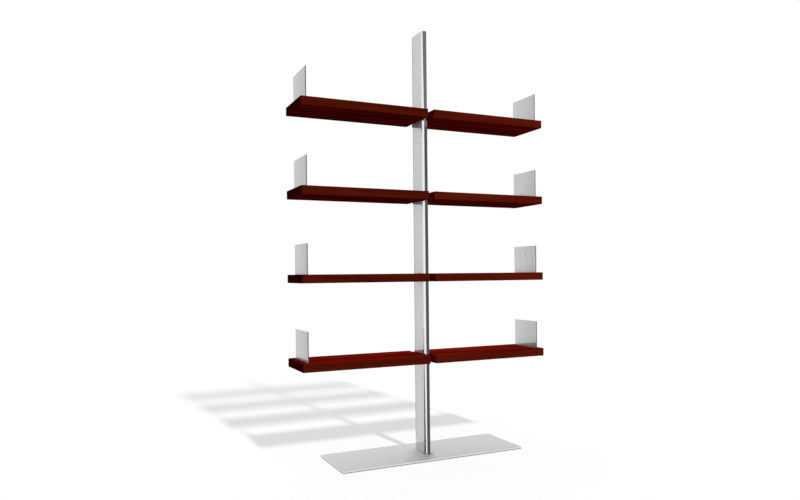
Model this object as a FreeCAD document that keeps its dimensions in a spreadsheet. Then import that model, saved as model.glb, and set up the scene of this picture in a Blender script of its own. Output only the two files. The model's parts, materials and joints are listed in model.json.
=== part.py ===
import FreeCAD, Part
import math
import os
import re
import Sketcher
from FreeCAD import Vector

# Spine bookshelf: an upright flat-sided oval tube on a thin base plate carries boards to its left and right
# on cross rods, and each board has a steel bookend let into a kerf near its outer end.
# +X is to the right and +Y to the back as seen from the front, +Z is up.
# The origin is on the floor, under the middle of the spine.

LEVELS = 4
SIDES = {"left": -1, "right": 1}
ROWS = {"front": -1, "back": 1}

# Driving sizes in millimetres
SIZES = {
    # Boards
    "board_length": "610",
    "board_depth": "236",
    "board_thickness": "38",
    "board_edge_bevel": "1",
    # Levels: upper face of the lowest boards above the floor, and the step from level to level
    "first_level_height": "479",
    "level_pitch": "381.5",
    # Spine: its reach is above the upper face of the top boards
    "spine_thickness": "30",
    "spine_depth": "118",
    "spine_wall": "3",
    "spine_top_reach": "382",
    "plug_clearance": "0.1",
    "cap_thickness": "10",
    # Base plate
    "base_length": "924",
    "base_depth": "304",
    "base_thickness": "6",
    "base_edge_bevel": "0.8",
    # Floor pads: the margin is from the plate's edges to a pad's centre
    "pad_diameter": "32",
    "pad_thickness": "3",
    "pad_margin": "34",
    # Foot block and its countersunk screws
    "foot_block_height": "45",
    "foot_screw_spacing": "60",
    "foot_screw_diameter": "10",
    "foot_screw_grip": "30",
    "foot_screw_room": "4",
    "foot_head_diameter": "18",
    "foot_socket": "6",
    "foot_socket_depth": "3.5",
    "screw_clearance": "0.2",
    # Bookends: height above the board, margins from the board's edges
    "bookend_height": "135",
    "bookend_thickness": "5",
    "bookend_edge_bevel": "0.6",
    "bookend_end_margin": "26",
    "bookend_front_margin": "18",
    "bookend_back_margin": "32",
    "kerf_depth": "14",
    "kerf_clearance": "0.1",
    # Cross rods: the grip is the length inside each board
    "rod_diameter": "12",
    "rod_grip": "200",
    "rod_spacing": "52",
    "rod_clearance": "0.1",
    "rod_end_room": "2",
    "rod_flat_length": "10",
    "rod_flat_depth": "1",
    # Locking screws: the inset is from a board's inner end, the recess from its underside
    "lock_inset": "70",
    "lock_diameter": "7",
    "lock_recess": "1",
    "lock_socket": "4",
    "lock_socket_depth": "3.5",
    "lock_clearance": "0.1",
    # How far a cut runs past the face that it opens
    "cut_overrun": "2",
}

# Angles in degrees
COUNTERSINK_ANGLE = 90
FULL_TURN = 360

# Corners of a hexagon as shares of its width across flats
HEXAGON_SHARES = [
    (0.57735, 0.0),
    (0.288675, 0.5),
    (-0.288675, 0.5),
    (-0.57735, 0.0),
    (-0.288675, -0.5),
    (0.288675, -0.5),
]

# Places worked out from the driving sizes
BASE_TOP = "(pad_thickness + base_thickness)"
TOP_LEVEL = f"(first_level_height + {LEVELS - 1} * level_pitch)"
SPINE_HEIGHT = f"({TOP_LEVEL} + spine_top_reach - {BASE_TOP})"
FIRST_UNDERSIDE = "(first_level_height - board_thickness)"
FIRST_ROD_HEIGHT = "(first_level_height - board_thickness / 2)"
PLUG_THICKNESS = "(spine_thickness - 2 * spine_wall - 2 * plug_clearance)"
PLUG_DEPTH = "(spine_depth - 2 * spine_wall - 2 * plug_clearance)"
ROD_BORE = "(rod_diameter + 2 * rod_clearance)"
ROD_FLAT_DROP = "(rod_diameter / 2 - rod_flat_depth)"
LOCK_REACH = "(spine_thickness / 2 + lock_inset)"
LOCK_BORE = "(lock_diameter + 2 * lock_clearance)"
FOOT_BORE = "(foot_screw_diameter + 2 * screw_clearance)"

doc = FreeCAD.newDocument("spine_bookshelf")
sheet = doc.addObject("Spreadsheet::Sheet", "Sizes")
for row, (alias, number) in enumerate(SIZES.items(), start=1):
    sheet.set(f"A{row}", alias)
    sheet.set(f"B{row}", number)
    sheet.setAlias(f"B{row}", alias)
doc.recompute()

subparts = []


def bound(formula):
    """Write a formula of size names as an expression on the sheet."""
    return re.sub(r"[a-z][a-z_]*", lambda word: "Sizes." + word.group(), formula)


def value(formula):
    return float(sheet.evalExpression(bound(formula)))


def bind(item, **formulas):
    for name, formula in formulas.items():
        item.setExpression(name, bound(formula))


def new_body(label, x="0", y="0", z="0"):
    body = doc.addObject("PartDesign::Body", label)
    body.Label = label
    for axis, formula in (("x", x), ("y", y), ("z", z)):
        body.setExpression(f".Placement.Base.{axis}", bound(formula))
    subparts.append(body)
    return body


def origin_item(body, role):
    return next(item for item in body.Origin.OriginFeatures if item.Role == role)


def new_sketch(body, name, plane, offset=None):
    sketch = body.newObject("Sketcher::SketchObject", name)
    sketch.AttachmentSupport = [(origin_item(body, plane), "")]
    sketch.MapMode = "FlatFace"
    if offset:
        sketch.setExpression(".AttachmentOffset.Base.z", bound(offset))
    return sketch


def set_datum(sketch, formula, kind, *where):
    index = sketch.addConstraint(Sketcher.Constraint(kind, *where, value(formula)))
    sketch.setExpression(f"Constraints[{index}]", bound(formula))


def put_point(sketch, shape, point, x=None, y=None):
    """Hold one point of a sketch line or arc at formulas for its two coordinates.

    A sketch counts a start as point 1, an end as 2 and a centre as 3, and its own axes are -1 and -2.
    """
    for formula, kind, axis in ((x, "DistanceX", -2), (y, "DistanceY", -1)):
        if formula == "0":
            sketch.addConstraint(Sketcher.Constraint("PointOnObject", shape, point, axis))
        elif formula:
            set_datum(sketch, formula, kind, shape, point)


def join_ends(sketch, shapes):
    for shape, following in zip(shapes, shapes[1:] + shapes[:1]):
        sketch.addConstraint(Sketcher.Constraint("Coincident", shape, 2, following, 1))


def draw_polygon(sketch, corners):
    points = [Vector(value(x), value(y), 0) for x, y in corners]
    lines = [
        sketch.addGeometry(Part.LineSegment(start, end))
        for start, end in zip(points, points[1:] + points[:1])
    ]
    join_ends(sketch, lines)
    for line, (x, y) in zip(lines, corners):
        put_point(sketch, line, 1, x, y)


def draw_rectangle(sketch, x_low, x_high, y_low, y_high):
    draw_polygon(sketch, [(x_low, y_low), (x_high, y_low), (x_high, y_high), (x_low, y_high)])


def draw_hexagon(sketch, x, y, flats):
    draw_polygon(
        sketch,
        [(f"{x} + {across} * {flats}", f"{y} + {along} * {flats}") for across, along in HEXAGON_SHARES],
    )


def draw_circle(sketch, x, y, diameter):
    centre = Vector(value(x), value(y), 0)
    circle = sketch.addGeometry(Part.Circle(centre, Vector(0, 0, 1), value(diameter) / 2))
    put_point(sketch, circle, 3, x, y)
    set_datum(sketch, diameter, "Diameter", circle)


def draw_flat_oval(sketch, thickness, depth):
    """Two straight sides along Y, closed by a half round at the front and at the back."""
    half = f"{thickness} / 2"
    reach = f"({depth} - {thickness}) / 2"
    side = value(half)
    end = value(reach)
    up = Vector(0, 0, 1)
    back_round = Part.Circle(Vector(0, end, 0), up, side)
    front_round = Part.Circle(Vector(0, -end, 0), up, side)
    right = sketch.addGeometry(Part.LineSegment(Vector(side, -end, 0), Vector(side, end, 0)))
    back = sketch.addGeometry(Part.ArcOfCircle(back_round, 0, math.pi))
    left = sketch.addGeometry(Part.LineSegment(Vector(-side, end, 0), Vector(-side, -end, 0)))
    front = sketch.addGeometry(Part.ArcOfCircle(front_round, math.pi, 2 * math.pi))
    join_ends(sketch, [right, back, left, front])
    put_point(sketch, right, 1, half, f"-({reach})")
    put_point(sketch, right, 2, half, reach)
    put_point(sketch, left, 1, f"-({half})", reach)
    put_point(sketch, left, 2, f"-({half})", f"-({reach})")
    put_point(sketch, back, 3, y=reach)
    put_point(sketch, front, 3, y=f"-({reach})")


def pad(body, sketch, name, length, symmetric=False):
    feature = body.newObject("PartDesign::Pad", name)
    feature.Profile = sketch
    feature.SideType = "Symmetric" if symmetric else "One side"
    bind(feature, Length=length)
    doc.recompute()
    return feature


def pocket(body, sketch, name, length=None, reverse=False, symmetric=False):
    before = body.Shape.Volume
    feature = body.newObject("PartDesign::Pocket", name)
    feature.Profile = sketch
    feature.Reversed = reverse
    feature.SideType = "Symmetric" if symmetric else "One side"
    if length:
        bind(feature, Length=length)
    else:
        feature.Type = "ThroughAll"
    doc.recompute()
    if not body.Shape.Volume < before:
        raise RuntimeError(f"{body.Label}: {name} cuts nothing")
    return feature


def bevel(body, name, base, edges, size):
    """Bevel the named edges, or the edges of the named faces, of a feature."""
    feature = body.newObject("PartDesign::Chamfer", name)
    feature.Base = (base, edges)
    bind(feature, Size=size)
    doc.recompute()


def all_edges(shape):
    return [f"Edge{number}" for number in range(1, len(shape.Edges) + 1)]


def top_face(shape):
    highest = max(shape.Faces, key=lambda face: face.CenterOfMass.z)
    return [f"Face{number}" for number, face in enumerate(shape.Faces, start=1) if face.isSame(highest)]


def repeat_on_levels(body, features):
    pattern = body.newObject("PartDesign::LinearPattern", "levels")
    pattern.Originals = features
    pattern.Direction = (origin_item(body, "Z_Axis"), [""])
    pattern.Mode = "Spacing"
    pattern.Occurrences = LEVELS
    bind(pattern, Offset="level_pitch")
    body.Tip = pattern
    doc.recompute()


def level_top(level):
    return f"(first_level_height + {level - 1} * level_pitch)"


def make_spine():
    """Flat-sided oval tube, cross-bored on every level for the rods."""
    body = new_body("spine", z=BASE_TOP)
    section = new_sketch(body, "section", "XY_Plane")
    draw_flat_oval(section, "spine_thickness", "spine_depth")
    draw_flat_oval(section, "(spine_thickness - 2 * spine_wall)", "(spine_depth - 2 * spine_wall)")
    pad(body, section, "tube", SPINE_HEIGHT)
    bores = new_sketch(body, "bores", "YZ_Plane")
    for row in ROWS.values():
        draw_circle(bores, f"{row} * rod_spacing / 2", f"{FIRST_ROD_HEIGHT} - {BASE_TOP}", ROD_BORE)
    repeat_on_levels(body, [pocket(body, bores, "cross_bores", symmetric=True)])


def make_spine_cap():
    """Plug that closes the tube's upper end, flush with it."""
    body = new_body("spine_cap", z=f"{BASE_TOP} + {SPINE_HEIGHT} - cap_thickness")
    section = new_sketch(body, "section", "XY_Plane")
    draw_flat_oval(section, PLUG_THICKNESS, PLUG_DEPTH)
    pad(body, section, "plug", "cap_thickness")


def make_foot_block():
    """Solid block in the tube's lower end, bored for the foot screws."""
    body = new_body("foot_block", z=BASE_TOP)
    section = new_sketch(body, "section", "XY_Plane")
    draw_flat_oval(section, PLUG_THICKNESS, PLUG_DEPTH)
    pad(body, section, "block", "foot_block_height")
    bores = new_sketch(body, "bores", "XY_Plane")
    for row in ROWS.values():
        draw_circle(bores, "0", f"{row} * foot_screw_spacing / 2", FOOT_BORE)
    pocket(body, bores, "screw_bores", "foot_screw_grip + foot_screw_room", reverse=True)


def make_base_plate():
    """Thin plate with a bevelled upper edge and countersunk holes under the spine."""
    body = new_body("base_plate", z="pad_thickness")
    outline = new_sketch(body, "outline", "XY_Plane")
    draw_rectangle(outline, "-base_length / 2", "base_length / 2", "-base_depth / 2", "base_depth / 2")
    plate = pad(body, outline, "plate", "base_thickness")
    bevel(body, "top_bevel", plate, top_face(plate.Shape), "base_edge_bevel")
    centres = new_sketch(body, "centres", "XY_Plane")
    for row in ROWS.values():
        draw_circle(centres, "0", f"{row} * foot_screw_spacing / 2", FOOT_BORE)
    doc.recompute()
    before = body.Shape.Volume
    holes = body.newObject("PartDesign::Hole", "countersunk_holes")
    holes.Profile = centres
    holes.Reversed = True
    holes.DepthType = "ThroughAll"
    holes.HoleCutType = "Countersink"
    holes.HoleCutCustomValues = True
    holes.HoleCutCountersinkAngle = COUNTERSINK_ANGLE
    bind(holes, Diameter=FOOT_BORE, HoleCutDiameter="foot_head_diameter + 2 * screw_clearance")
    doc.recompute()
    if not body.Shape.Volume < before:
        raise RuntimeError("base_plate: the countersunk holes cut nothing")


def make_foot_screws():
    """Two countersunk screws, heads flush with the plate's underside, with hexagon sockets."""
    body = new_body("foot_screws", z="pad_thickness")
    profile = new_sketch(body, "profile", "XZ_Plane", offset="foot_screw_spacing / 2")
    length = "base_thickness + foot_screw_grip"
    head = "(foot_head_diameter - foot_screw_diameter) / 2"
    draw_polygon(
        profile,
        [
            ("0", "0"),
            ("foot_head_diameter / 2", "0"),
            ("foot_screw_diameter / 2", head),
            ("foot_screw_diameter / 2", length),
            ("0", length),
        ],
    )
    turned = body.newObject("PartDesign::Revolution", "turned")
    turned.Profile = profile
    turned.ReferenceAxis = (profile, ["V_Axis"])
    turned.Angle = FULL_TURN
    doc.recompute()
    socket = new_sketch(body, "socket", "XY_Plane")
    draw_hexagon(socket, "0", "-foot_screw_spacing / 2", "foot_socket")
    cut = pocket(body, socket, "socket_cut", "foot_socket_depth", reverse=True)
    pair = body.newObject("PartDesign::Mirrored", "pair")
    pair.Originals = [turned, cut]
    pair.MirrorPlane = (origin_item(body, "XZ_Plane"), [""])
    body.Tip = pair
    doc.recompute()


def make_floor_pads():
    """Round pads under the plate's corners, and in front of and behind the spine."""
    body = new_body("floor_pads")
    outline = new_sketch(body, "outline", "XY_Plane")
    reach = "(base_length / 2 - pad_margin)"
    for row in ROWS.values():
        for across in (f"-{reach}", "0", reach):
            draw_circle(outline, across, f"{row} * (base_depth / 2 - pad_margin)", "pad_diameter")
    pad(body, outline, "pads", "pad_thickness")


def make_board(side_name, side, level):
    """Solid wood board with bevelled edges, blind rod bores, a bookend's kerf and a locking hole."""
    body = new_body(
        f"board_{side_name}_level_{level}",
        x=f"{side} * spine_thickness / 2",
        z=f"{level_top(level)} - board_thickness",
    )
    outline = new_sketch(body, "outline", "XY_Plane")
    draw_rectangle(outline, "0", f"{side} * board_length", "-board_depth / 2", "board_depth / 2")
    plank = pad(body, outline, "plank", "board_thickness")
    bevel(body, "bevelled_edges", plank, all_edges(plank.Shape), "board_edge_bevel")
    bores = new_sketch(body, "bores", "YZ_Plane")
    for row in ROWS.values():
        draw_circle(bores, f"{row} * rod_spacing / 2", "board_thickness / 2", ROD_BORE)
    pocket(body, bores, "rod_bores", "rod_grip + rod_end_room", reverse=side > 0)
    kerf = new_sketch(body, "kerf", "XY_Plane", offset="board_thickness")
    draw_rectangle(
        kerf,
        f"{side} * (board_length - bookend_end_margin - bookend_thickness - kerf_clearance)",
        f"{side} * (board_length - bookend_end_margin + kerf_clearance)",
        "-board_depth / 2 + bookend_front_margin - kerf_clearance",
        "board_depth / 2 - bookend_back_margin + kerf_clearance",
    )
    pocket(body, kerf, "kerf_cut", "kerf_depth")
    hole = new_sketch(body, "hole", "XY_Plane")
    draw_circle(hole, f"{side} * lock_inset", "rod_spacing / 2", LOCK_BORE)
    pocket(body, hole, "locking_hole", "board_thickness / 2", reverse=True)


def make_bookend(side_name, side, level):
    """Flat plate with bevelled edges, standing on the floor of its kerf."""
    body = new_body(
        f"bookend_{side_name}_level_{level}",
        x=f"{side} * (spine_thickness / 2 + board_length - bookend_end_margin - bookend_thickness / 2)",
        z=f"{level_top(level)} - kerf_depth",
    )
    outline = new_sketch(body, "outline", "YZ_Plane")
    draw_rectangle(
        outline,
        "-board_depth / 2 + bookend_front_margin",
        "board_depth / 2 - bookend_back_margin",
        "0",
        "kerf_depth + bookend_height",
    )
    plate = pad(body, outline, "plate", "bookend_thickness", symmetric=True)
    bevel(body, "bevelled_edges", plate, all_edges(plate.Shape), "bookend_edge_bevel")


def make_cross_rod(row_name, row, level):
    """Steel rod through the spine into both boards. The back one has a flat for each locking screw."""
    body = new_body(
        f"cross_rod_{row_name}_level_{level}",
        y=f"{row} * rod_spacing / 2",
        z=f"{level_top(level)} - board_thickness / 2",
    )
    section = new_sketch(body, "section", "YZ_Plane")
    draw_circle(section, "0", "0", "rod_diameter")
    pad(body, section, "rod", "spine_thickness + 2 * rod_grip", symmetric=True)
    if row == ROWS["front"]:
        return
    flats = new_sketch(body, "flats", "XZ_Plane")
    for side in SIDES.values():
        draw_rectangle(
            flats,
            f"{side} * {LOCK_REACH} - rod_flat_length / 2",
            f"{side} * {LOCK_REACH} + rod_flat_length / 2",
            "-rod_diameter / 2 - cut_overrun",
            f"-{ROD_FLAT_DROP}",
        )
    pocket(body, flats, "milled_flats", symmetric=True)


def make_locking_screws():
    """Headless screws with hexagon sockets, each with its tip on a flat of a back rod."""
    body = new_body("locking_screws", z=f"{FIRST_UNDERSIDE} + lock_recess")
    section = new_sketch(body, "section", "XY_Plane")
    socket = new_sketch(body, "socket", "XY_Plane")
    for side in SIDES.values():
        draw_circle(section, f"{side} * {LOCK_REACH}", "rod_spacing / 2", "lock_diameter")
        draw_hexagon(socket, f"{side} * {LOCK_REACH}", "rod_spacing / 2", "lock_socket")
    screws = pad(body, section, "screws", f"board_thickness / 2 - {ROD_FLAT_DROP} - lock_recess")
    sockets = pocket(body, socket, "sockets", "lock_socket_depth", reverse=True)
    repeat_on_levels(body, [screws, sockets])


def check_model():
    """Stop if any feature failed or any sub-part has no valid solid."""
    for item in doc.Objects:
        if "Invalid" in item.State or "Error" in item.State:
            raise RuntimeError(f"{item.Label}: {item.State}")
    for body in subparts:
        if body.Shape.isNull() or not body.Shape.isValid() or not body.Shape.Solids:
            raise RuntimeError(f"{body.Label}: no valid solid")


make_spine()
make_spine_cap()
make_foot_block()
make_base_plate()
make_foot_screws()
make_floor_pads()
for level in range(1, LEVELS + 1):
    for side_name, side in SIDES.items():
        make_board(side_name, side, level)
        make_bookend(side_name, side, level)
    for row_name, row in ROWS.items():
        make_cross_rod(row_name, row, level)
make_locking_screws()
doc.recompute()
check_model()

os.makedirs("parts", exist_ok=True)
for body in subparts:
    body.Shape.exportStep(f"parts/{body.Label}.step")
    print(body.Label, len(body.Shape.Solids), round(body.Shape.Volume))
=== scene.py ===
import json
import math

import bpy
from mathutils import Matrix, Vector


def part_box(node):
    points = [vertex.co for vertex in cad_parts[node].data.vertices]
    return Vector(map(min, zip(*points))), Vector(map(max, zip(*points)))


# Spine bookshelf: dark red stained boards with steel bookends, a polished steel spine and a brushed base.
# Metres, in the frame of the part: +X right, +Y back, +Z up, origin on the floor under the spine.

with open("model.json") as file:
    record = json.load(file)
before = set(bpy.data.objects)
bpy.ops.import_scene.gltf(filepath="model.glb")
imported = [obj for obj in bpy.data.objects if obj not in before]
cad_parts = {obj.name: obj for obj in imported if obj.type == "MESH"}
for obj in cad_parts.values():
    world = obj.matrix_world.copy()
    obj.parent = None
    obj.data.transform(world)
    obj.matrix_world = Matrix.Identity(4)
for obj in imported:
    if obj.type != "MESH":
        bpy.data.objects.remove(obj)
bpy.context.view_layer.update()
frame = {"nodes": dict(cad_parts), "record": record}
nodes = frame["nodes"]

MM = 0.001

# A face is turned to an axis where its normal's share along that axis is over this
FACING = 0.5

# The step from level to level, read from the frame
level_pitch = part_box("board_right_level_2")[0].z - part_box("board_right_level_1")[0].z


def linear(hex_colour):
    """Linear RGBA of an sRGB hex colour."""
    shares = [int(hex_colour[place:place + 2], 16) / 255 for place in (1, 3, 5)]
    return [s / 12.92 if s <= 0.04045 else ((s + 0.055) / 1.055) ** 2.4 for s in shares] + [1.0]


def add_node(tree, kind, inputs=None, **settings):
    """Add a node with its settings.

    An input takes a value, a socket, or a node, which stands for its first output.
    """
    node = tree.nodes.new(kind)
    for name, setting in settings.items():
        setattr(node, name, setting)
    for key, source in (inputs or {}).items():
        if isinstance(key, int):
            socket = node.inputs[key]
        else:
            socket = next(s for s in node.inputs if s.enabled and s.name == key)
        if isinstance(source, bpy.types.Node):
            source = next(s for s in source.outputs if s.enabled)
        if isinstance(source, bpy.types.NodeSocket):
            tree.links.new(source, socket)
        else:
            socket.default_value = source
    return node


def mix_colours(tree, share, first, second, **settings):
    """The first colour where share is 0, the second where it is 1, and a blend between."""
    return add_node(
        tree, "ShaderNodeMix", {"Factor": share, "A": first, "B": second}, data_type="RGBA", **settings
    )


def new_material(name):
    """A material with its tree and its shader."""
    material = bpy.data.materials.new(name)
    material.use_nodes = True
    return material, material.node_tree, material.node_tree.nodes["Principled BSDF"]


def bare_material(name):
    """A material with its tree, which is empty."""
    material = bpy.data.materials.new(name)
    material.use_nodes = True
    material.node_tree.nodes.clear()
    return material, material.node_tree


def place_object(name, data):
    """Put a new object with this data into the scene."""
    placed = bpy.data.objects.new(name, data)
    bpy.context.collection.objects.link(placed)
    return placed


def stained_mahogany():
    """Solid mahogany, planed, stained dark red and oiled.

    Oil leaves it matt and deep in colour. Growth rings show as long red streaks on the wide faces and as
    browner lines on the edges, which are also darker than the tops as a painted shade. The outer ends have
    drunk the most stain and are nearly black. The inner ends, by the spine, take the wide faces' red, a
    painted light that lifts them out of the narrow gap's shade. The left boards are a little darker.
    """
    material, tree, shader = new_material("stained mahogany")
    texture = add_node(tree, "ShaderNodeTexCoord")
    place = add_node(tree, "ShaderNodeSeparateXYZ", {0: texture.outputs["Object"]})
    normal = add_node(tree, "ShaderNodeSeparateXYZ", {0: texture.outputs["Normal"]})

    # Each level is cut from another stretch of the plank, so the pattern moves along it by some metres
    stretch = 4.0
    level = add_node(tree, "ShaderNodeMath", {0: place.outputs["Z"], 1: level_pitch}, operation="DIVIDE")
    level = add_node(tree, "ShaderNodeMath", {0: level}, operation="FLOOR")
    along = add_node(
        tree, "ShaderNodeMath", {0: level, 1: stretch, 2: place.outputs["X"]}, operation="MULTIPLY_ADD"
    )
    height = add_node(tree, "ShaderNodeMath", {0: place.outputs["Z"], 1: level_pitch}, operation="MODULO")
    grain = add_node(tree, "ShaderNodeCombineXYZ", {0: along, 1: place.outputs["Y"], 2: height})

    # Growth rings about a pith under the plank, bent by slow waves along it
    pith = (0.0, 35 * MM, -90 * MM)
    across_grain = (0.0, 1.0, 1.0)
    ring_width = 11 * MM
    wave_size = (900 * MM, 90 * MM, 90 * MM)
    wave_depth = 40 * MM
    waves = add_node(tree, "ShaderNodeVectorMath", {0: grain, 1: wave_size}, operation="DIVIDE")
    waves = add_node(tree, "ShaderNodeTexNoise", {"Vector": waves, "Scale": 1.0, "Detail": 3.0})
    radius = add_node(tree, "ShaderNodeVectorMath", {0: grain, 1: pith}, operation="SUBTRACT")
    radius = add_node(tree, "ShaderNodeVectorMath", {0: radius, 1: across_grain}, operation="MULTIPLY")
    radius = add_node(tree, "ShaderNodeVectorMath", {0: radius}, operation="LENGTH")
    rings = add_node(tree, "ShaderNodeMath", {0: waves, 1: wave_depth, 2: radius}, operation="MULTIPLY_ADD")
    rings = add_node(tree, "ShaderNodeMath", {0: rings, 1: ring_width}, operation="DIVIDE")
    rings = add_node(tree, "ShaderNodeMath", {0: rings}, operation="FRACT")

    # Each ring darkens from one share of its width to the other
    pale_until = 0.1
    dark_from = 0.95
    late_wood = add_node(
        tree,
        "ShaderNodeMapRange",
        {"Value": rings, "From Min": pale_until, "From Max": dark_from},
        interpolation_type="SMOOTHSTEP",
    )

    # Ribbons: stripes of red and dark wood that run on for some hundred millimetres and fade
    ribbon_size = (600 * MM, 30 * MM, 30 * MM)
    ribbons = add_node(tree, "ShaderNodeVectorMath", {0: grain, 1: ribbon_size}, operation="DIVIDE")
    ribbons = add_node(
        tree, "ShaderNodeTexNoise", {"Vector": ribbons, "Scale": 1.0, "Detail": 2.0, "Roughness": 0.5}
    )

    # Fibres, drawn some times as coarse as real ones so that they show in the render
    fibre_size = (260 * MM, 6 * MM, 6 * MM)
    fibre_depth = 0.3 * MM
    fibres = add_node(tree, "ShaderNodeVectorMath", {0: grain, 1: fibre_size}, operation="DIVIDE")
    fibres = add_node(
        tree, "ShaderNodeTexNoise", {"Vector": fibres, "Scale": 1.0, "Detail": 4.0, "Roughness": 0.65}
    )

    # The figure adds ribbons and rings to the fibres, and runs from red wood to dark wood
    ribbon_weight = 2.0
    ring_weight = 0.2
    red_end = 1.23
    dark_end = 1.95
    figure = add_node(
        tree, "ShaderNodeMath", {0: ribbons, 1: ribbon_weight, 2: fibres}, operation="MULTIPLY_ADD"
    )
    figure = add_node(
        tree, "ShaderNodeMath", {0: late_wood, 1: ring_weight, 2: figure}, operation="MULTIPLY_ADD"
    )
    figure = add_node(
        tree, "ShaderNodeMapRange", {"Value": figure, "From Min": red_end, "From Max": dark_end}
    )

    wide = mix_colours(tree, figure, linear("#8a1606"), linear("#420801"))
    # Front and back edges: browner grain, and darker than the tops as a painted shade
    edge_grain_and_shade = mix_colours(tree, figure, linear("#551609"), linear("#460e05"))
    end = mix_colours(tree, figure, linear("#4c0b05"), linear("#2e0402"))
    upright = add_node(tree, "ShaderNodeMath", {0: normal.outputs["Z"]}, operation="ABSOLUTE")
    upright = add_node(tree, "ShaderNodeMath", {0: upright, 1: FACING}, operation="GREATER_THAN")
    endwise = add_node(tree, "ShaderNodeMath", {0: normal.outputs["X"]}, operation="ABSOLUTE")
    endwise = add_node(tree, "ShaderNodeMath", {0: endwise, 1: FACING}, operation="GREATER_THAN")
    half_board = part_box("board_right_level_1")[1].x / 2
    outer = add_node(tree, "ShaderNodeMath", {0: place.outputs["X"]}, operation="ABSOLUTE")
    outer = add_node(tree, "ShaderNodeMath", {0: outer, 1: half_board}, operation="GREATER_THAN")
    outer_end = add_node(tree, "ShaderNodeMath", {0: endwise, 1: outer}, operation="MULTIPLY")
    # Tops, undersides and every end take the wide faces' colour, then the outer ends take the dark end
    # grain. On the inner ends by the spine the wide faces' red is a painted light that lifts them out of
    # the gap's shade.
    red = add_node(tree, "ShaderNodeMath", {0: upright, 1: endwise}, operation="MAXIMUM")
    colour = mix_colours(tree, red, edge_grain_and_shade, wide)
    colour = mix_colours(tree, outer_end, colour, end)

    # The left boards are a little darker on every face: they send back this share of the light
    left_board_tone = linear("#e9e9e9")
    left = add_node(tree, "ShaderNodeMath", {0: place.outputs["X"], 1: 0.0}, operation="LESS_THAN")
    colour = mix_colours(tree, left, colour, left_board_tone, blend_type="MULTIPLY")

    relief = add_node(
        tree, "ShaderNodeBump", {"Height": fibres, "Strength": 0.15, "Distance": fibre_depth}
    )
    roughness = add_node(tree, "ShaderNodeMapRange", {"Value": figure, "To Min": 0.5, "To Max": 0.65})
    tree.links.new(colour.outputs[2], shader.inputs["Base Color"])
    tree.links.new(roughness.outputs[0], shader.inputs["Roughness"])
    tree.links.new(relief.outputs[0], shader.inputs["Normal"])
    shader.inputs["Specular IOR Level"].default_value = 0.0
    return material


def steel(name, light, dark, mark_size, haze, smooth, rough):
    """Stainless steel whose polish or brushing leaves fine marks of a given size along each axis.

    The marks shift its grey a little. The smooth metal between them mirrors clearly, and the rough marks, a
    share of haze of the whole surface, lay a veil over the reflections. Smooth and rough give the
    roughness of each.
    """
    # Most of the noise lies between these values
    noise_low = 0.3
    noise_high = 0.7
    mark_depth = 0.1 * MM
    material, tree, shader = new_material(name)
    texture = add_node(tree, "ShaderNodeTexCoord")
    marks = add_node(
        tree, "ShaderNodeVectorMath", {0: texture.outputs["Object"], 1: mark_size}, operation="DIVIDE"
    )
    marks = add_node(
        tree, "ShaderNodeTexNoise", {"Vector": marks, "Scale": 1.0, "Detail": 3.0, "Roughness": 0.6}
    )
    marks = add_node(
        tree, "ShaderNodeMapRange", {"Value": marks, "From Min": noise_low, "From Max": noise_high}
    )
    colour = mix_colours(tree, marks, linear(dark), linear(light))

    # Smooth metal blends into marks within this distance of the haze's limit
    limit = 1.0 - haze
    blend = 0.2
    roughness = add_node(
        tree,
        "ShaderNodeMapRange",
        {
            "Value": marks,
            "From Min": limit - blend,
            "From Max": limit + blend,
            "To Min": smooth,
            "To Max": rough,
        },
        name="polish",
    )
    relief = add_node(tree, "ShaderNodeBump", {"Height": marks, "Strength": 0.05, "Distance": mark_depth})
    tree.links.new(colour.outputs[2], shader.inputs["Base Color"])
    tree.links.new(roughness.outputs[0], shader.inputs["Roughness"])
    tree.links.new(relief.outputs[0], shader.inputs["Normal"])
    shader.inputs["Metallic"].default_value = 1.0

    # Seen along its surface, the metal mirrors a little less than white
    shader.inputs["Specular Tint"].default_value = linear("#e9e9e9")
    return material


def polished_spine_steel():
    """Tube with flats brushed to a satin, which veils what they mirror, and round noses buffed bright."""
    mark_size = (0.8 * MM, 0.8 * MM, 6 * MM)
    material = steel(
        "polished stainless tube", "#d8d8d8", "#c8c8c8", mark_size, haze=0.4, smooth=0.04, rough=0.7
    )
    tree = material.node_tree
    shader = tree.nodes["Principled BSDF"]
    texture = add_node(tree, "ShaderNodeTexCoord")
    normal = add_node(tree, "ShaderNodeSeparateXYZ", {0: texture.outputs["Normal"]})

    # Noses turn into flats between these shares of the normal along X
    nose_until = 0.93
    flat_from = 0.99
    flat = add_node(tree, "ShaderNodeMath", {0: normal.outputs["X"]}, operation="ABSOLUTE")
    flat = add_node(
        tree, "ShaderNodeMapRange", {"Value": flat, "From Min": nose_until, "From Max": flat_from}
    )
    buffed = 0.07
    satin = tree.nodes["polish"].outputs[0]
    polish = add_node(tree, "ShaderNodeMapRange", {"Value": flat, "To Min": buffed, "To Max": satin})
    tree.links.new(polish.outputs[0], shader.inputs["Roughness"])
    return material


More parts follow.
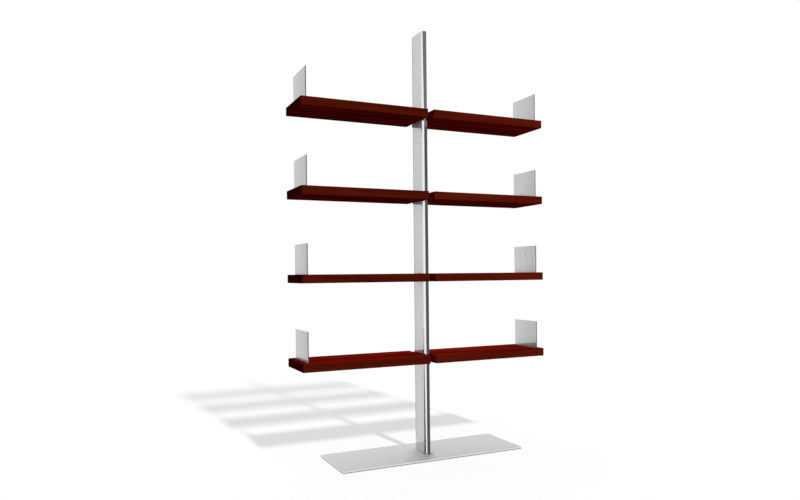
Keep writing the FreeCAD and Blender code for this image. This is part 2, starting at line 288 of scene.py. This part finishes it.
def satin_bookend_steel():
    """Sheet with a fine satin polish, darkened toward the front by a painted shade, and with darker front
    and back edges.
    """
    mark_size = (0.8 * MM, 4 * MM, 0.8 * MM)
    material = steel(
        "satin stainless sheet", "#d6d6d6", "#cecece", mark_size, haze=0.45, smooth=0.05, rough=0.7
    )
    tree = material.node_tree
    shader = tree.nodes["Principled BSDF"]
    front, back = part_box("bookend_left_level_1")
    texture = add_node(tree, "ShaderNodeTexCoord")
    place = add_node(tree, "ShaderNodeSeparateXYZ", {0: texture.outputs["Object"]})
    # Painted shade: the grey darkens from the back edge to the front edge
    painted_front_shade = add_node(
        tree, "ShaderNodeMapRange", {"Value": place.outputs["Y"], "From Min": back.y, "From Max": front.y}
    )
    satin = shader.inputs["Base Color"].links[0].from_socket
    colour = mix_colours(tree, painted_front_shade, satin, linear("#c2c2c2"))
    normal = add_node(tree, "ShaderNodeSeparateXYZ", {0: texture.outputs["Normal"]})
    # The front and back edges are a darker grey
    front_back_edge = add_node(tree, "ShaderNodeMath", {0: normal.outputs["Y"]}, operation="ABSOLUTE")
    front_back_edge = add_node(tree, "ShaderNodeMath", {0: front_back_edge, 1: FACING}, operation="GREATER_THAN")
    colour = mix_colours(tree, front_back_edge, colour, linear("#747474"))
    tree.links.new(colour.outputs[2], shader.inputs["Base Color"])
    return material


def brushed_base_steel():
    """Plate brushed along its length until it hardly mirrors anything, with a painted highlight on its
    edges.
    """
    mark_size = (60 * MM, 1.5 * MM, 1.5 * MM)
    material = steel(
        "brushed stainless plate", "#e8e8e8", "#dcdcdc", mark_size, haze=0.5, smooth=0.5, rough=0.7
    )
    tree = material.node_tree
    shader = tree.nodes["Principled BSDF"]
    texture = add_node(tree, "ShaderNodeTexCoord")
    normal = add_node(tree, "ShaderNodeSeparateXYZ", {0: texture.outputs["Normal"]})

    # The top is flat, so its normal points almost straight up, and an edge's doesn't. The edges take an
    # even light grey, a painted highlight
    straight_up = 0.9
    top = add_node(
        tree, "ShaderNodeMath", {0: normal.outputs["Z"], 1: straight_up}, operation="GREATER_THAN"
    )
    brushed = shader.inputs["Base Color"].links[0].from_socket
    colour = mix_colours(tree, top, linear("#e4e4e4"), brushed)
    tree.links.new(colour.outputs[2], shader.inputs["Base Color"])
    return material


def drawn_rod_steel():
    """Bright drawn bar with lengthwise die marks."""
    mark_size = (60 * MM, 2 * MM, 2 * MM)
    return steel("bright drawn bar", "#b4b4b4", "#9c9c9c", mark_size, haze=0.5, smooth=0.25, rough=0.35)


def blackened_screw_steel():
    """Oil-blackened screws: a dull, nearly black metal."""
    mark_size = (2 * MM, 2 * MM, 2 * MM)
    return steel("blackened steel", "#3a3a3c", "#262628", mark_size, haze=0.5, smooth=0.4, rough=0.55)


def pressed_felt():
    """Black wool felt, matted, which scatters light and shows tufts."""
    tuft_size = (2 * MM, 2 * MM, 2 * MM)
    tuft_depth = 0.5 * MM
    material, tree, shader = new_material("pressed wool felt")
    texture = add_node(tree, "ShaderNodeTexCoord")
    tufts = add_node(
        tree, "ShaderNodeVectorMath", {0: texture.outputs["Object"], 1: tuft_size}, operation="DIVIDE"
    )
    tufts = add_node(tree, "ShaderNodeTexNoise", {"Vector": tufts, "Scale": 1.0, "Detail": 5.0})
    colour = mix_colours(tree, tufts, linear("#2b2b2b"), linear("#484848"))
    relief = add_node(tree, "ShaderNodeBump", {"Height": tufts, "Strength": 0.4, "Distance": tuft_depth})
    tree.links.new(colour.outputs[2], shader.inputs["Base Color"])
    tree.links.new(relief.outputs[0], shader.inputs["Normal"])
    shader.inputs["Roughness"].default_value = 0.95
    return material


FINISHES = {
    "stained_wood": stained_mahogany,
    "spine_steel": polished_spine_steel,
    "bookend_steel": satin_bookend_steel,
    "base_steel": brushed_base_steel,
    "rod_steel": drawn_rod_steel,
    "screw_steel": blackened_screw_steel,
    "pad_felt": pressed_felt,
}


def dress_nodes():
    """Give each node of the frame the finish of its slot."""
    made = {slot: make() for slot, make in FINISHES.items()}
    for row in frame["record"]["subparts"]:
        nodes[row["node"]].data.materials[0] = made[row["material_slot"]]


def seen_directly(tree):
    """1 for a ray from the camera, a mirror or glass, and 0 for a ray that gathers light."""
    path = add_node(tree, "ShaderNodeLightPath")
    seen = add_node(
        tree,
        "ShaderNodeMath",
        {0: path.outputs["Is Camera Ray"], 1: path.outputs["Is Glossy Ray"]},
        operation="MAXIMUM",
    )
    return add_node(
        tree, "ShaderNodeMath", {0: seen, 1: path.outputs["Is Transmission Ray"]}, operation="MAXIMUM"
    )


def white_world(fill):
    """White where it is seen, and a weaker fill light everywhere else."""
    world = bpy.data.worlds.new("white studio")
    bpy.context.scene.world = world
    world.use_nodes = True
    tree = world.node_tree
    strength = add_node(
        tree, "ShaderNodeMapRange", {"Value": seen_directly(tree), "To Min": fill, "To Max": 1.0}
    )
    background = tree.nodes["Background"]
    background.inputs["Color"].default_value = linear("#ffffff")
    tree.links.new(strength.outputs[0], background.inputs["Strength"])


def white_floor(width, bounce, shade, glow):
    """A floor that looks white and keeps the shadow, and that sends little light back up.

    Where it is seen, its diffuse share takes the shadow and its own glow lifts the rest to white. Both die
    away in the narrow gap under the base plate, where an occlusion node paints shade.
    """
    gap_reach = 10 * MM
    material, tree = bare_material("white floor")
    dull = add_node(tree, "ShaderNodeBsdfDiffuse", {"Color": [bounce] * 3 + [1.0]})
    # Painted shade: occlusion darkens the floor within this reach of the plate
    gap = add_node(
        tree, "ShaderNodeAmbientOcclusion", {"Color": [shade] * 3 + [1.0], "Distance": gap_reach}
    )
    shaded = add_node(tree, "ShaderNodeBsdfDiffuse", {"Color": gap.outputs["Color"]})
    gap = add_node(tree, "ShaderNodeMath", {0: gap.outputs["AO"], 1: glow}, operation="MULTIPLY")
    lift = add_node(tree, "ShaderNodeEmission", {"Color": linear("#ffffff"), "Strength": gap})
    white = add_node(tree, "ShaderNodeAddShader", {0: shaded, 1: lift})
    surface = add_node(tree, "ShaderNodeMixShader", {0: seen_directly(tree), 1: dull, 2: white})
    add_node(tree, "ShaderNodeOutputMaterial", {"Surface": surface})
    half = width / 2
    corners = [(-half, -half, 0), (half, -half, 0), (half, half, 0), (-half, half, 0)]
    mesh = bpy.data.meshes.new("floor")
    mesh.from_pydata(corners, [], [(0, 1, 2, 3)])
    mesh.materials.append(material)
    floor = place_object("floor", mesh)
    floor.visible_glossy = False


def strip_lamp(slope, strength, width, height):
    """A tall lamp whose shadows run along slope: metres to the right and back for each metre of height.

    Strength is the light that falls on a face turned to it, in watts for each square metre. Width and
    height are the angles that it fills. It is narrow, so the boards' shadows end crisply, and taller, so
    their long sides are soft. Metal doesn't mirror it, because a soft studio lamp leaves no glare on the
    brushed base.
    """
    # So far away that its light doesn't weaken across the floor
    distance = 3000.0
    lamp = bpy.data.lights.new("strip lamp", "AREA")
    lamp.shape = "RECTANGLE"
    lamp.size = 2 * distance * math.tan(width / 2)
    lamp.size_y = 2 * distance * math.tan(height / 2)
    lamp.energy = strength * math.pi * distance ** 2
    holder = place_object("strip lamp", lamp)
    holder.visible_glossy = False
    ray = Vector((*slope, -1.0)).normalized()
    holder.location = -distance * ray
    holder.rotation_mode = "QUATERNION"
    holder.rotation_quaternion = ray.to_track_quat("-Z", "Y")


def mirror_card(name, radiance, rows, side=1):
    """A card bent round a nose of the spine, which only mirrors see, to draw bands on the polished steel.

    It stands close to the nose and is clear from outside, so the flats, the bookends and the base mirror
    the white studio instead. Each row gives a height in metres and the card's left and right ends there, as
    bearings from straight in front of the nose, in degrees to the right. Side is 1 for the front nose and
    -1 for the back.
    """
    low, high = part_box("spine")
    nose_radius = high.x
    nose_axis = low.y + nose_radius
    distance = 30 * MM
    steps = 24
    points = []
    faces = []
    for row, (height, left, right) in enumerate(rows):
        for step in range(steps + 1):
            bearing = math.radians(left + (right - left) * step / steps)
            across = distance * math.sin(bearing)
            ahead = nose_axis - distance * math.cos(bearing)
            points.append((side * across, side * ahead, height))
            if row and step:
                corner = row * (steps + 1) + step
                faces.append((corner - steps - 2, corner - steps - 1, corner, corner - 1))
    material, tree = bare_material(name)
    glow = add_node(tree, "ShaderNodeEmission", {"Color": linear("#ffffff"), "Strength": radiance})
    clear = add_node(tree, "ShaderNodeBsdfTransparent")
    inner_face = add_node(tree, "ShaderNodeNewGeometry").outputs["Backfacing"]
    surface = add_node(tree, "ShaderNodeMixShader", {0: inner_face, 1: clear, 2: glow})
    add_node(tree, "ShaderNodeOutputMaterial", {"Surface": surface})
    mesh = bpy.data.meshes.new(name)
    mesh.from_pydata(points, [], faces)
    mesh.materials.append(material)
    card = place_object(name, mesh)
    card.visible_camera = False
    card.visible_diffuse = False
    card.visible_shadow = False


def photo_camera():
    """The camera of the photograph: level, turned to the right and leaning by half a degree."""
    place = Vector((-1.4376, -2.8688, 0.8596))
    turn = math.radians(-24.784)
    lean = math.radians(0.568)
    focal_pixels = 667.74
    image_width = 800
    horizon_below_middle_pixels = 23.83
    forward = Vector((-math.sin(turn), math.cos(turn), 0.0))
    level = Vector((math.cos(turn), math.sin(turn), 0.0))
    up = Vector((0.0, 0.0, 1.0))
    right = math.cos(lean) * level - math.sin(lean) * up
    top = math.sin(lean) * level + math.cos(lean) * up
    lens = bpy.data.cameras.new("camera")
    lens.sensor_width = 36.0
    lens.lens = focal_pixels / image_width * lens.sensor_width
    lens.shift_y = horizon_below_middle_pixels / image_width
    camera = place_object("camera", lens)
    camera.matrix_world = Matrix.Translation(place) @ Matrix((right, top, -forward)).transposed().to_4x4()
    bpy.context.scene.camera = camera


dress_nodes()
white_world(fill=0.45)
white_floor(width=60.0, bounce=0.26, shade=0.46, glow=0.54)
strip_lamp(slope=(-0.136, 1.275), strength=3.0, width=math.radians(2.6), height=math.radians(4.7))

# A white card to the left of each nose and darker flags beside it draw the nose's bright and dark bands
card_white = 1.35
flag_grey = 0.13
mirror_card(
    "white card",
    radiance=card_white,
    rows=[(0.01, -59, -25), (0.15, -67, -25), (0.6, -90, -25), (1.56, -92, -25), (2.05, -84, -47)],
)
mirror_card("low left flag", radiance=0.06, rows=[(0.01, -115, -59), (0.15, -115, -67), (0.6, -102, -90)])
mirror_card("right flag", radiance=flag_grey, rows=[(0.01, -25, 90), (1.56, -25, 90)])
mirror_card("upper right flag", radiance=0.25, rows=[(1.56, -25, 90), (2.05, -47, 90)])
mirror_card("back white card", radiance=card_white, rows=[(0.06, -50, -5), (2.05, -50, -5)], side=-1)
mirror_card("back flag", radiance=flag_grey, rows=[(0.06, -5, 50), (2.05, -5, 50)], side=-1)
photo_camera()
bpy.context.scene.view_settings.view_transform = "Standard"
